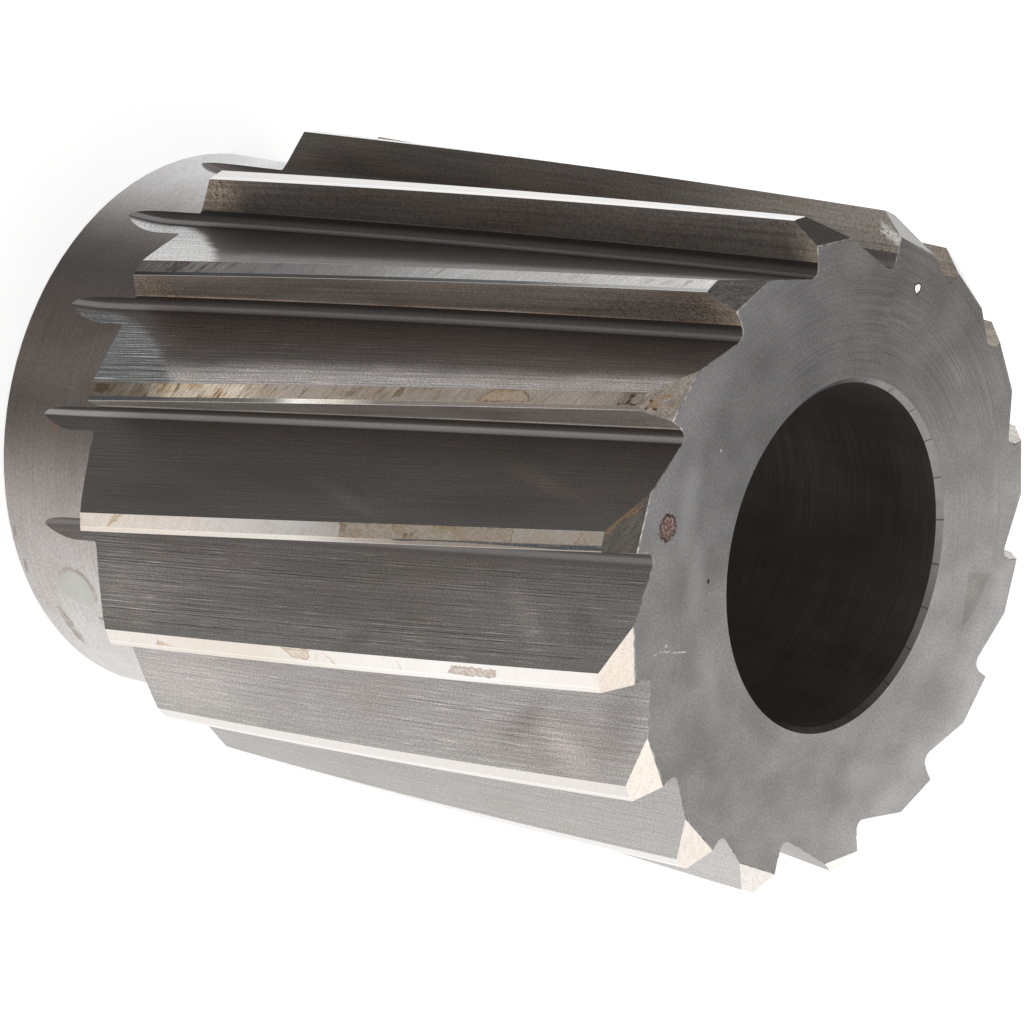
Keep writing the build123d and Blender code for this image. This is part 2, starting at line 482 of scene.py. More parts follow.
def cut_away(target, tool_mesh):
    """Replaces the target's mesh by what is left of it outside the tool."""
    tool = bpy.data.objects.new("tool", tool_mesh)
    bpy.context.scene.collection.objects.link(tool)
    cut = target.modifiers.new("cut", "BOOLEAN")
    cut.operation = "DIFFERENCE"
    cut.solver = "EXACT"
    cut.object = tool
    evaluated = target.evaluated_get(bpy.context.evaluated_depsgraph_get())
    left = bpy.data.meshes.new_from_object(evaluated)
    target.modifiers.remove(cut)
    target.data = left
    bpy.data.objects.remove(tool)


def gathered(items, key, kind):
    """One value of every item as an array."""
    found = np.empty(len(items), kind)
    items.foreach_get(key, found)
    return found


def sharpen(mesh):
    """Smooth shading within each smooth group, and a sharp edge wherever two groups meet."""
    mesh.polygons.foreach_set("use_smooth", np.ones(len(mesh.polygons), bool))
    groups = gathered(mesh.attributes["group"].data, "value", np.float32)
    loop_group = np.repeat(groups, gathered(mesh.polygons, "loop_total", np.int32))
    loop_edge = gathered(mesh.loops, "edge_index", np.int32)
    lowest = np.full(len(mesh.edges), np.inf, np.float32)
    highest = np.full(len(mesh.edges), -np.inf, np.float32)
    np.minimum.at(lowest, loop_edge, loop_group)
    np.maximum.at(highest, loop_edge, loop_group)
    mesh.edges.foreach_set("use_edge_sharp", lowest != highest)


for name in FINISHES:
    body.data.materials.append(bpy.data.materials.new(name))
cut_away(body, slot_bar())
sharpen(body.data)
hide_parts("reamer_body")
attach(body, "root")


# Turned surfaces: the neck and the cone behind the teeth are fine-turned and left with a satin sheen.
# Their tone round the axis is painted shade and reflection, darker on one side; a brown-grey cloudy tint
# lies over it, and handling has left a few pale-centred stains.
neck_shade_tones = (
    (-180, 226, 228, 230), (-160, 214, 216, 218), (-148, 201, 201, 202), (-141, 178, 176, 176),
    (-135, 154, 151, 149), (-129, 121, 117, 115), (-123, 85, 81, 79), (-117, 73, 69, 67), (-105, 86, 79, 75),
    (-96, 102, 95, 89), (-87, 91, 85, 81), (-81, 104, 98, 94), (-75, 131, 125, 121), (-66, 167, 161, 157),
    (-57, 183, 178, 175), (-48, 196, 192, 189), (-36, 205, 202, 199), (-20, 212, 209, 207),
    (60, 172, 169, 166), (130, 190, 187, 185), (180, 226, 228, 230),
)
neck_stain_rims = (((28.7, -31.8, 12.4), (3.9, 3.9, 4.3)), ((35.6, -24.2, 5.2), (5.5, 5.5, 1)))
neck_stain_centres = (((29, -31.4, 12), (3.75, 3.75, 3.95)),)
neck_spots = (
    ((22.6, -36.4, 1.2), (1.3, 1.3, 0.5)), ((27.4, -32.8, 1.5), (1.6, 1.6, 0.5)),
    ((33.6, -26.6, 17.4), (1.2, 1.2, 2.4)), ((4.4, -42.4, 11.2), (2.6, 2, 1.2)),
)


def shade(red, green, blue):
    """Linear colour of one given as displayed from 0 to 255: the display's curve undone, mostly a power."""
    displayed = np.array((red, green, blue)) / 255
    linear = np.where(displayed > 0.04045, ((displayed + 0.055) / 1.055) ** 2.4, displayed / 12.92)
    return (*linear.tolist(), 1.0)


class Finish:
    """Node material of one finish of the steel, whose colour is laid on coat by coat.

    Its methods take numbers, colours or the outputs of nodes. A place is in millimetres: X, Y and Z on the
    object, or with on_teeth the distance across, the height and the tooth's number. Turns are in degrees.
    """

    def __init__(self, name, roughness, anisotropy=0.0, metallic=1.0, on_teeth=False):
        material = bpy.data.materials[name]
        material.use_nodes = True
        self.tree = material.node_tree
        self.shader = self.tree.nodes["Principled BSDF"]
        self.shader.inputs["Metallic"].default_value = metallic
        self.shader.inputs["Roughness"].default_value = roughness
        self.shader.inputs["Anisotropic"].default_value = anisotropy
        on_object = {0: self.add("TexCoord")["Object"], "Scale": 1 / mm}
        self.place = self.add("VectorMath", on_object, operation="SCALE")[0]
        self.x, self.y, self.z = self.add("SeparateXYZ", {0: self.place})
        self.turn = self.calc("ARCTAN2", self.y, self.x)
        self.colour = None
        if on_teeth:
            flat = self.add("SeparateXYZ", {0: self.add("UVMap", uv_map="across_height")["UV"]})
            self.across = self.product(flat["X"], 1 / mm)
            self.height = self.product(flat["Y"], 1 / mm)
            self.tooth = self.add("Attribute", attribute_name="tooth")["Fac"]
            self.place = self.add("CombineXYZ", {0: self.across, 1: self.height, 2: self.tooth})[0]

    def add(self, kind, inputs=(), **settings):
        """Outputs of a new node with these settings, whose inputs take a value or a link each."""
        node = self.tree.nodes.new("ShaderNode" + kind)
        for key, value in settings.items():
            setattr(node, key, value)
        for key, value in dict(inputs).items():
            if isinstance(value, bpy.types.NodeSocket):
                self.tree.links.new(value, node.inputs[key])
            else:
                node.inputs[key].default_value = value
        return node.outputs

    def calc(self, operation, *values):
        return self.add("Math", enumerate(values), operation=operation)[0]

    def product(self, result, *factors):
        for factor in factors:
            result = self.calc("MULTIPLY", result, factor)
        return result

    def centred(self, noise):
        """Noise less its middle, one half."""
        return self.calc("SUBTRACT", noise, 0.5)

    def fade(self, value, start, end, low=0.0, high=1.0):
        """Smooth step from low at start to high at end."""
        inputs = {"Value": value, 1: start, 2: end, 3: low, 4: high}
        return self.add("MapRange", inputs, interpolation_type="SMOOTHSTEP")[0]

    def grain(self, per_mm, detail, turn=0.0, place=None):
        """Noise from 0 to 1 of this many cells to the millimetre on each axis, turned about the third."""
        turned = self.add("Mapping", {0: place or self.place, "Rotation": (0, 0, math.radians(turn))})[0]
        scaled = self.add("Mapping", {0: turned, "Scale": per_mm})[0]
        return self.add("TexNoise", {"Vector": scaled, "Scale": 1.0, "Detail": detail})[0]

    def blend(self, share, first, second, mode="MIX"):
        inputs = {0: share, 6: first, 7: second}
        return self.add("Mix", inputs, data_type="RGBA", blend_type=mode)[2]

    def coat(self, tone, *shares):
        """Lays a displayed colour over the finish, as strong as the product of the shares."""
        self.colour = self.blend(self.product(*shares), self.colour, shade(*tone))

    def tint(self, factor, *shares):
        """Multiplies the finish by a number or a linear colour, wholly or by the product of the shares."""
        share = self.product(*shares) if shares else 1.0
        self.colour = self.blend(share, self.colour, factor, "MULTIPLY")

    def mottle(self, noise, amount, reach=0.25):
        """Multiplies the finish by 1 less the amount to 1 plus it, as the noise goes through its middle."""
        self.tint(self.fade(noise, 0.5 - reach, 0.5 + reach, 1 - amount, 1 + amount))

    def ramp(self, value, stops, interpolation="LINEAR"):
        """Colour read off stops of position and linear colour."""
        node = self.tree.nodes.new("ShaderNodeValToRGB")
        node.color_ramp.interpolation = interpolation
        elements = node.color_ramp.elements
        for index, (position, colour) in enumerate(stops):
            element = elements[index] if index < 2 else elements.new(position)
            element.position = position
            element.color = colour
        self.tree.links.new(value, node.inputs[0])
        return node.outputs[0]

    def tones(self, value, rows):
        """Colour read off rows of position, red, green and blue, as displayed."""
        return self.ramp(value, [(position, shade(*tone)) for position, *tone in rows])

    def by_azimuth(self, rows):
        """Tones given by degrees round the axis, from -180 to 180."""
        share = self.calc("MULTIPLY_ADD", self.turn, 0.5 / math.pi, 0.5)
        return self.tones(share, [(azimuth / 360 + 0.5, *tone) for azimuth, *tone in rows])

    def by_height(self, rows):
        """Tones given by millimetres of height."""
        share = self.calc("DIVIDE", self.height, overall_length / mm)
        return self.tones(share, [(height * mm / overall_length, *tone) for height, *tone in rows])

    def tooth_ramp(self, colours):
        """One linear colour for each tooth."""
        share = self.product(self.calc("ADD", self.tooth, 0.5), 1 / tooth_count)
        return self.ramp(share, [(i / tooth_count, colour) for i, colour in enumerate(colours)], "CONSTANT")

    def by_tooth(self, tones):
        """One displayed colour for each tooth."""
        return self.tooth_ramp([shade(*tone) for tone in tones])

    def number(self, numbers):
        """One number for each tooth. The ramp holds them as shares of the largest."""
        largest = max(numbers)
        return self.product(self.tooth_ramp([(n / largest,) * 3 + (1.0,) for n in numbers]), largest)

    def off_tooth(self, tooth):
        return self.calc("ABSOLUTE", self.calc("SUBTRACT", self.tooth, tooth))

    def stirred(self, cells, amount):
        """Place moved about by noise, so that what is drawn there gets an uneven outline."""
        scaled = self.add("Mapping", {0: self.place, "Scale": cells})[0]
        noise = self.add("TexNoise", {"Vector": scaled, "Scale": 1.0, "Detail": 2.0})["Color"]
        moves = self.add("VectorMath", {0: noise, 1: (0.5, 0.5, 0.5)}, operation="SUBTRACT")[0]
        return self.add("VectorMath", {0: moves, 1: amount, 2: self.place}, operation="MULTIPLY_ADD")[0]

    def ovals(self, rows, rim=0.35, place=None):
        """Strength from 0 to 1 of oval marks, each given by its centre, its half sizes and a turn, if any.

        It is 1 inside, and falls over the outer part of the oval, whose share of its size is the rim.
        """
        strength = 0.0
        for centre, half, *turn in rows:
            inputs = {"Location": centre, "Rotation": (0, 0, math.radians(sum(turn))), "Scale": half}
            local = self.add("Mapping", {0: place or self.place, **inputs}, vector_type="TEXTURE")[0]
            distance = self.add("VectorMath", {0: local}, operation="LENGTH")["Value"]
            strength = self.calc("MAXIMUM", strength, self.fade(distance, 1, 1 - rim))
        return strength

    def marks(self, rows, rim=0.35, place=None):
        """Ovals on the teeth, each given by its tooth, its centre and half sizes across and along, and a
        turn, if any. The half size along the tooth's number keeps them off the other teeth."""
        rows = [((x, y, tooth), (a, b, 0.4), *turn) for tooth, x, y, a, b, *turn in rows]
        return self.ovals(rows, rim, place)

    def depth_in(self, corners, tooth=None, place=None):
        """Millimetres inside a patch with these corners, in order round it: the least distance from a side.

        Corners are across and height on one tooth, or X and Y where no tooth is given. Off that tooth it is
        99 less for each tooth between.
        """
        points = np.array(corners)
        depth = 1e3
        for start, end in zip(points, np.roll(points, -1, axis=0)):
            inward = np.array((start[1] - end[1], end[0] - start[0])) / np.linalg.norm(end - start)
            inward *= np.sign(inward @ (points.mean(axis=0) - start))
            inputs = {0: place or self.place, 1: (*inward, 0.0)}
            side = self.add("VectorMath", inputs, operation="DOT_PRODUCT")["Value"]
            depth = self.calc("MINIMUM", depth, self.calc("SUBTRACT", side, float(inward @ start)))
        if tooth is None:
            return depth
        return self.calc("SUBTRACT", depth, self.product(self.off_tooth(tooth), 99))

    def brushed(self, **direction):
        """Draws the highlight out along this direction of the surface."""
        self.tree.links.new(self.add("Tangent", **direction)[0], self.shader.inputs["Tangent"])

    def done(self, relief=None, depth=0.0):
        """Links the colour to the shader, and relief as a height in millimetres times depth."""
        self.tree.links.new(self.colour, self.shader.inputs["Base Color"])
        if relief is not None:
            inputs = {"Height": relief, "Distance": depth * mm, "Strength": 1.0}
            self.tree.links.new(self.add("Bump", inputs)[0], self.shader.inputs["Normal"])


for name in ("turned", "tooth_end"):
    steel = Finish(name, roughness=0.34, anisotropy=0.5)
    rings = steel.grain((0.05, 0.05, 3.6), 2)
    fine = steel.grain((2.4, 2.4, 3), 2)
    clouds = steel.grain((0.1, 0.1, 0.12), 5)
    # Painted shade and reflection: the tone changes round the axis, darker on one side.
    steel.colour = steel.by_azimuth(neck_shade_tones)
    steel.tint(shade(214, 196, 184), steel.fade(clouds, 0.4, 0.7, 0, 0.3))
    steel.mottle(rings, -0.06, reach=0.2)
    steel.mottle(fine, 0.13)
    stirred = steel.stirred((0.5, 0.5, 0.5), (1.6, 1.6, 1.6))
    centres = steel.ovals(neck_stain_centres, 0.25, stirred)
    rims = steel.product(steel.ovals(neck_stain_rims, 0.25, stirred), steel.calc("SUBTRACT", 1, centres))
    broken = steel.fade(steel.grain((0.7, 0.7, 0.7), 4), 0.3, 0.6, 0.3, 0.75)
    steel.coat((142, 122, 108), rims, broken)
    steel.coat((186, 187, 181), centres, broken)
    steel.coat((118, 90, 76), steel.ovals(neck_spots, place=stirred), 0.4)
    steel.done(rings, 0.002)


# Milled surfaces: the backs of the teeth and the roots keep the cutter's fine lines along the flute, under
# the dark skin of hardening. Each back's tone is painted shade and reflection: it is darker on one side, and
# lighter beside the land on some teeth.
# Tones and numbers have one entry for each tooth, from 0 to 15. Each mark starts with its tooth.
# Painted shade and reflection: one tone for each tooth's back, darker on one side.
back_shade_tones = (
    (110, 104, 101), (120, 115, 112), (135, 130, 126), (150, 146, 142), (160, 156, 153), (165, 161, 158),
    (165, 162, 160), (170, 166, 164), (180, 176, 174), (208, 205, 203), (190, 187, 185), (176, 172, 170),
    (113, 109, 106), (75, 70, 66), (80, 74, 70), (75, 71, 69),
)
heel_reflection_tones = (
    (120, 116, 114), (130, 126, 123), (140, 136, 133), (152, 148, 145), (160, 156, 153), (165, 161, 158),
    (165, 162, 160), (170, 166, 164), (180, 176, 174), (208, 205, 203), (194, 191, 188), (178, 174, 171),
    (112, 109, 106), (75, 71, 69), (176, 171, 168), (148, 145, 144),
)
line_depths = (1.4,) + (1.2,) * 7 + (1, 0.9, 0.7, 1.4, 2, 1.1, 3, 2.5)
grain_depths = (0.3,) + (0.2,) * 9 + (0.17, 0.22, 0.24, 0.22, 0.38, 0.38)
root_highlights = (0.15,) * 12 + (0.2, 0.55, 0.3, 0.35)
root_shade = (0.2,) + (0.1,) * 11 + (0.15, 0.15, 0.3, 0.5)
bright_reflection_ends = ((15, -2.7, 21.9, 14, 30, 42),)
lined_reflection_ends = ((14, -2.7, 22.5, 14, 30, 36),)
dark_clouds = (
    (12, 2, 77, 2.2, 5, -20), (12, 6.5, 118, 3, 6, 50), (12, 11.5, 68, 3.6, 24), (13, 7, 60, 5, 34),
    (13, 3.4, 100, 3.4, 20), (13, 3.6, 38, 3.4, 20), (11, 7, 104, 3, 8, -40), (12, 7, 72, 4, 34),
    (14, 4, 36, 3, 24), (15, 11.5, 52, 5, 44), (11, 9, 122, 8, 6, 20),
)
pale_clouds = (
    (12, 7, 108, 2.6, 9, 45), (12, 6, 28, 9, 16), (13, 4, 75, 1.6, 12, 20), (11, 4, 112, 4, 9, 35),
    (14, 7, 104, 3.4, 34), (15, 8, 124, 8, 22), (11, 6, 30, 9, 26), (13, 8, 108, 2, 14, 20),
)
deep_lines = ((12, 6, 30, 12, 46), (12, 3, 90, 5, 40), (11, 6, 95, 10, 30), (13, 10, 24, 9, 9))

steel = Finish("milled", roughness=0.44, anisotropy=0.6, metallic=0.6, on_teeth=True)
steel.brushed(direction_type="UV_MAP", uv_map="across_height")
lines = steel.grain((4.6, 0, 7), 1)
broad = steel.grain((1.6, 0.03, 11), 1)
reach = steel.fade(steel.grain((2.1, 0.15, 5), 2), 0.3, 0.7, 0.15, 1.6)
scratches = steel.grain((4.4, 0.14, 9), 1)
speckle = steel.grain((4, 2.8, 4), 1)
clouds = steel.grain((0.14, 0.07, 3.7), 4)
back_lengths = steel.number((flute_lengths[0][:, 0] / mm).tolist())
past_back = steel.calc("SUBTRACT", steel.across, back_lengths)
on_back = steel.fade(past_back, 0.2, -1.2)
from_heel = steel.calc("MULTIPLY_ADD", steel.centred(clouds), 3, steel.across)
heel_share = steel.fade(from_heel, 1.6, 6.4)
# Painted shade and reflection: each back's tone by tooth, lighter towards the land on some teeth.
steel.colour = steel.blend(heel_share, steel.by_tooth(heel_reflection_tones), steel.by_tooth(back_shade_tones))
stirred = steel.stirred((1.6, 0.1, 1), (0.6, 3, 0))
# Painted reflection: a bright patch on the back end of tooth 15.
steel.coat((226, 225, 225), steel.marks(bright_reflection_ends, 0.12, stirred), on_back)
# Painted reflection: a lighter grey patch on the back end of tooth 14, where the fine lines are also cut
# deeper.
lined_reflection = steel.product(steel.marks(lined_reflection_ends, 0.12, stirred), on_back)
steel.coat((112, 112, 112), lined_reflection)
steel.tint((0.45, 0.44, 0.42, 1), steel.marks(dark_clouds, 0.9, stirred), 0.38)
steel.tint((1.9, 1.85, 1.8, 1), steel.marks(pale_clouds, 0.9, stirred), 0.34)
# Painted shade: the roots and walls past the straight back are darkened, by a share that differs from tooth
# to tooth.
steel.tint((0.3, 0.3, 0.3, 1), steel.fade(past_back, -0.9, 0.1), steel.number(root_shade))
# Painted highlight: a pale streak along each root, stronger lower down.
in_root = steel.product(steel.fade(past_back, 0.1, 0.4), steel.fade(past_back, 1.3, 0.9))
stronger_below = steel.fade(steel.height, 32, 18, 1, 1.6)
steel.coat((170, 166, 167), in_root, steel.number(root_highlights), stronger_below)
steel.tint(shade(224, 206, 194), steel.fade(steel.grain((0.09, 0.03, 2.9), 4), 0.45, 0.75, 0, 0.4))
deep = steel.fade(steel.marks(deep_lines, 0.9), 0, 1, 0.8, 1.3)
deep = steel.calc("MULTIPLY_ADD", lined_reflection, 1.7, deep)
swing = steel.product(steel.number(line_depths), deep, on_back)
cut = steel.product(steel.centred(lines), reach)
cut = steel.calc("MULTIPLY_ADD", steel.centred(broad), 0.14, cut)
cut = steel.calc("MULTIPLY_ADD", cut, steel.product(swing, 1.4), 1)
steel.tint(steel.calc("MAXIMUM", cut, 0.15))
sparkle = steel.product(steel.number(grain_depths), steel.fade(past_back, 0.2, -0.6, 0.4, 1))
steel.tint(steel.calc("MULTIPLY_ADD", steel.fade(speckle, 0.25, 0.75, -1, 1), sparkle, 1))
# Painted glints: the colour is lightened up to 2.2 times along fine scratch dashes on the backs.
steel.tint((2.2, 2.2, 2.2, 1), steel.fade(scratches, 0.56, 0.8), steel.product(swing, 0.3))
steel.done(lines, 0.003)


# Lands: ground bright behind each cutting edge, first a narrow round margin and then a relieved flat with
# slanting grinding streaks. Their tones by tooth and along the height are painted reflection. Oil and rust
# have left brown patches across some of them.
land_reflection_tones = (
    (221, 220, 219), (218, 217, 216), (214, 210, 206), (206, 202, 197), (204, 199, 193), (208, 202, 195),
    (214, 207, 200), (222, 214, 206), (222, 214, 206), (224, 216, 208), (222, 220, 217), (222, 217, 212),
    (243, 234, 226), (205, 196, 188), (176, 166, 154), (136, 136, 138),
)
margin_reflection_tones = (
    (230, 229, 228), (222, 221, 220), (214, 210, 206), (206, 202, 197), (204, 199, 193), (208, 202, 195),
    (214, 207, 200), (222, 214, 206), (226, 218, 210), (230, 222, 214), (234, 231, 228), (232, 227, 222),
    (249, 242, 236), (240, 230, 221), (104, 98, 92), (84, 83, 83),
)
cream_land_run = (
    (24, 229, 222, 216), (56, 224, 215, 204), (76, 234, 229, 224), (92, 239, 235, 231), (127, 236, 229, 223),
)
grey_land_run = (
    (24, 212, 202, 191), (48, 202, 194, 188), (64, 181, 178, 174), (75, 160, 155, 150), (127, 146, 140, 133),
)
golden_land_run = (
    (24, 92, 83, 73), (34, 112, 104, 95), (40, 174, 162, 144), (52, 188, 177, 161), (57, 156, 146, 136),
    (72, 141, 132, 123), (84, 132, 123, 114), (112, 138, 130, 122), (127, 118, 110, 101),
)
blue_land_run = (
    (24, 82, 77, 73), (34, 102, 99, 97), (52, 106, 104, 104), (66, 121, 119, 118), (82, 161, 160, 159),
    (100, 171, 169, 167), (127, 196, 194, 192),
)
grey_margin_run = (
    (24, 222, 210, 198), (68, 218, 212, 204), (80, 168, 160, 150), (90, 138, 129, 120), (127, 134, 127, 118),
)
golden_margin_run = (
    (24, 86, 81, 76), (54, 98, 95, 91), (60, 128, 124, 118), (64, 230, 228, 222), (71, 206, 199, 188),
    (79, 120, 112, 106), (112, 124, 116, 109), (127, 108, 101, 93),
)
blue_margin_run = (
    (24, 44, 42, 40), (38, 68, 65, 63), (66, 66, 65, 64), (94, 92, 92, 93), (106, 148, 148, 147),
    (127, 172, 171, 169),
)
land_reflection_runs = (
    (12, cream_land_run, cream_land_run), (13, grey_land_run, grey_margin_run),
    (14, golden_land_run, golden_margin_run), (15, blue_land_run, blue_margin_run),
)
streaked_lands = (0.12, 0.15) + (0.2,) * 4 + (0.15, 0.15, 0.12, 0.12, 0.08, 0.1, 0.12, 0.22, 0.7, 0.7)
hatched_lands = (0.1, 0.1) + (0.2,) * 6 + (0.1, 0.1) + (0.06,) * 3 + (0.18, 0.6, 0.35)
golden_lands = (0,) * 12 + (0.1, 0.35, 0.4, 0)
speckled_lands = (0.2, 0.2) + (0.3,) * 6 + (0.2, 0.2) + (0.1,) * 3 + (0.35, 0.6, 0.6)
streak_fields = ((14, 1.8, 45, 6, 16), (15, 1.8, 32, 6, 18), (13, 1.8, 92, 6, 18))

# Each stain has its tooth, its corners, its colour and strength, and where it has a rim, those of the rim.
land_stains = (
    (15, ((2.8, 30.4), (2.8, 33.4), (0.7, 31.8), (0.7, 29)), (58, 48, 42), 0.75, (50, 40, 34), 0.2),
    (15, ((2.5, 119.2), (2.5, 120), (0.8, 119.2), (0.8, 118.6)), (120, 116, 112), 0.6),
    (15, ((2.4, 113), (2.3, 114.4), (1.2, 113.6), (1.3, 112.6)), (150, 148, 146), 0.5),
    (15, ((2.5, 116.2), (2.4, 117.2), (1, 116.4), (1.1, 115.2)), (140, 137, 134), 0.5),
    (14, ((2.6, 24.4), (2.7, 27.2), (1.7, 27.6), (1.2, 26.2), (1.5, 24.6)),
     (62, 50, 40), 0.75, (50, 40, 32), 0.3),
    (14, ((2.7, 28), (2.6, 28.9), (1, 27.6), (1.1, 26.8)), (80, 68, 56), 0.45),
    (14, ((2.7, 33.6), (2.7, 35), (0.8, 33.6), (0.8, 32.6)), (92, 76, 58), 0.6),
    (14, ((2.4, 65.2), (2.4, 65.6), (0.8, 64.4), (0.8, 64.1)), (92, 76, 60), 0.7),
    (14, ((2.6, 73.6), (2.6, 75.8), (1.2, 74), (1.3, 72)), (104, 88, 70), 0.6),
    (14, ((2.8, 82.2), (2.8, 83.2), (1.3, 82.6), (1.3, 80.9)), (96, 76, 56), 0.8, (84, 66, 48), 0.3),
    (14, ((2.6, 78.2), (2.6, 79.4), (1.6, 79), (1.6, 78)), (112, 92, 72), 0.5),
    (14, ((2.75, 98.4), (2.75, 103.2), (1.8, 104.9), (0.8, 105.1), (0.75, 96.2), (1.7, 96.8)),
     (148, 129, 109), 0.7, (92, 72, 54), 1),
    (14, ((2.75, 119.8), (2.8, 123.6), (0.75, 123.4), (0.7, 119.6)), (122, 113, 104), 0.5, (54, 46, 40), 1),
    (14, ((2.7, 120.2), (2.7, 121), (0.9, 120.8), (0.8, 120.1)), (86, 80, 75), 0.6),
    (14, ((2.5, 121), (2.6, 121.9), (1, 121.8), (0.9, 121)), (64, 48, 36), 0.95),
    (13, ((2.7, 31), (2.7, 32.8), (1, 30.4), (1, 29.4)), (182, 158, 126), 0.8, (160, 134, 100), 0.3),
    (13, ((2.8, 76.3), (2.8, 108.1), (0.6, 108.1), (0.5, 76.3)), (132, 121, 107), 0.95, (116, 98, 78), 0.5),
    (13, ((2.8, 76.6), (2.8, 77.8), (1.5, 77.4), (1.4, 76.8)), (110, 92, 72), 0.7),
    (13, ((1.6, 88.4), (1.6, 89.2), (0.7, 88.6), (0.7, 88.2)), (96, 78, 64), 0.7),
    (13, ((1.7, 89.6), (1.7, 90.3), (0.8, 89.8), (0.8, 89.5)), (96, 78, 64), 0.6),
    (13, ((2.8, 108.1), (2.8, 124), (0.6, 124), (0.6, 108.1)), (140, 132, 123), 0.95),
    (13, ((2.6, 119.7), (0.9, 118.7), (0.9, 121.3)), (150, 142, 133), 0, (132, 102, 68), 0.95),
    (12, ((2, 35.4), (0.9, 34.8), (1, 37.4)), (190, 162, 140), 0.8, (170, 138, 112), 0.3),
    (12, ((1.6, 37.2), (0.8, 37), (0.8, 39.4)), (214, 196, 178), 0.6),
    (12, ((2.75, 62.2), (2.75, 68.4), (0.9, 67.6), (1.25, 64.4)),
     (204, 186, 166), 0.85, (150, 122, 98), 0.7),
    (12, ((2.4, 71), (2.3, 71.5), (0.8, 73.2), (0.8, 72.7)), (186, 160, 138), 0.7),
    (12, ((2.2, 69.6), (2.2, 70), (0.9, 69.2), (0.9, 68.9)), (214, 196, 182), 0.7),
    (12, ((2.3, 96.4), (2.1, 105), (0.8, 104.4), (0.95, 95.4)), (176, 160, 148), 0.85, (150, 134, 124), 0.4),
    (12, ((2.3, 85.4), (2.3, 85.7), (1, 86.6), (1, 86.3)), (206, 186, 170), 0.6),
)
dark_margins = ((13, 0.66, 88.6, 0.16, 3), (13, 0.74, 97, 0.14, 12), (14, 0.5, 30, 0.4, 12))
dark_margin_band = ((0.84, 96), (0.9, 124), (0.14, 124), (0.12, 117), (0.62, 98))

steel = Finish("land", roughness=0.24, anisotropy=0.3, on_teeth=True)
streaks = steel.grain((0.4, 2, 7.1), 4, turn=-32)
clouds = steel.grain((0.5, 0.2, 3.3), 4)
hatch = steel.grain((0.5, 3.4, 7), 3, turn=-32)
speckle = steel.grain((4.2, 4, 5), 1)
# Painted reflection: each land and margin takes its tooth's tone, and on teeth 12 to 15 a tone that changes
# along the height.
steel.colour = steel.by_tooth(land_reflection_tones)
margin = steel.by_tooth(margin_reflection_tones)
for number, run, margin_run in land_reflection_runs:
    here = steel.fade(steel.off_tooth(number), 0.4, 0.3)
    steel.colour = steel.blend(here, steel.colour, steel.by_height(run))
    margin = steel.blend(here, margin, steel.by_height(margin_run))
field = steel.fade(steel.marks(streak_fields, 0.6), 0, 1, 0.55, 1.5)
strength = steel.product(steel.number(streaked_lands), field)
dark = steel.product(steel.fade(streaks, 0.5, 0.3), steel.fade(clouds, 0.35, 0.6, 0.3, 1))
steel.tint(shade(150, 138, 122), dark, strength)
light = steel.product(steel.fade(streaks, 0.55, 0.7), steel.fade(clouds, 0.6, 0.35, 0.3, 1))
steel.tint((1.7, 1.62, 1.5, 1), light, strength, 0.8)
stirred = steel.stirred((1.6, 1.1, 1), (0.8, 1.3, 0))
worn = steel.fade(steel.grain((0.8, 0.5, 5.9), 3), 0.35, 0.6, 0.4, 1)
mottled = steel.fade(steel.grain((2.2, 1.4, 3.9), 3), 0.3, 0.65, 0.55, 1)
for number, corners, tone, share, *rim in land_stains:
    depth = steel.depth_in(corners, number, stirred)
    inside = steel.product(steel.fade(depth, -0.05, 0.08), mottled)
    steel.coat(tone, inside, share)
    if rim:
        steel.coat(rim[0], inside, worn, steel.fade(depth, 0.36, 0.14), rim[1])
golden = steel.product(steel.number(golden_lands), field)
steel.tint(shade(232, 208, 176), golden, steel.fade(clouds, 0.5, 0.62))
past_edge = margin_width / mm
in_margin = steel.fade(steel.across, past_edge + 0.03, past_edge - 0.03)
steel.colour = steel.blend(in_margin, steel.colour, margin)
band = steel.fade(steel.depth_in(dark_margin_band, 13), -0.06, 0.14)
band = steel.product(band, steel.fade(mottled, 0.55, 0.9, 0.7, 1))
steel.coat((68, 70, 73), steel.calc("MAXIMUM", steel.marks(dark_margins, 0.5), band), 0.95)
# Painted highlights: thin light lines along the margin's parting and along the cutting edge.
off_parting = steel.calc("ABSOLUTE", steel.calc("SUBTRACT", steel.across, past_edge))
steel.tint((1.6, 1.6, 1.6, 1), steel.fade(off_parting, 0.12, 0.03, 0, 0.25))
steel.coat((206, 202, 197), steel.fade(steel.across, 0.14, 0.05, 0, 0.5))
speckled = steel.product(steel.fade(speckle, 0.25, 0.75, -0.26, 0.26), steel.number(speckled_lands))
hatched = steel.product(steel.number(hatched_lands), field, steel.fade(hatch, 0.3, 0.7, -0.22, 0.22))
steel.tint(steel.calc("ADD", steel.calc("ADD", speckled, hatched), 1))
steel.done(streaks, 0.001)


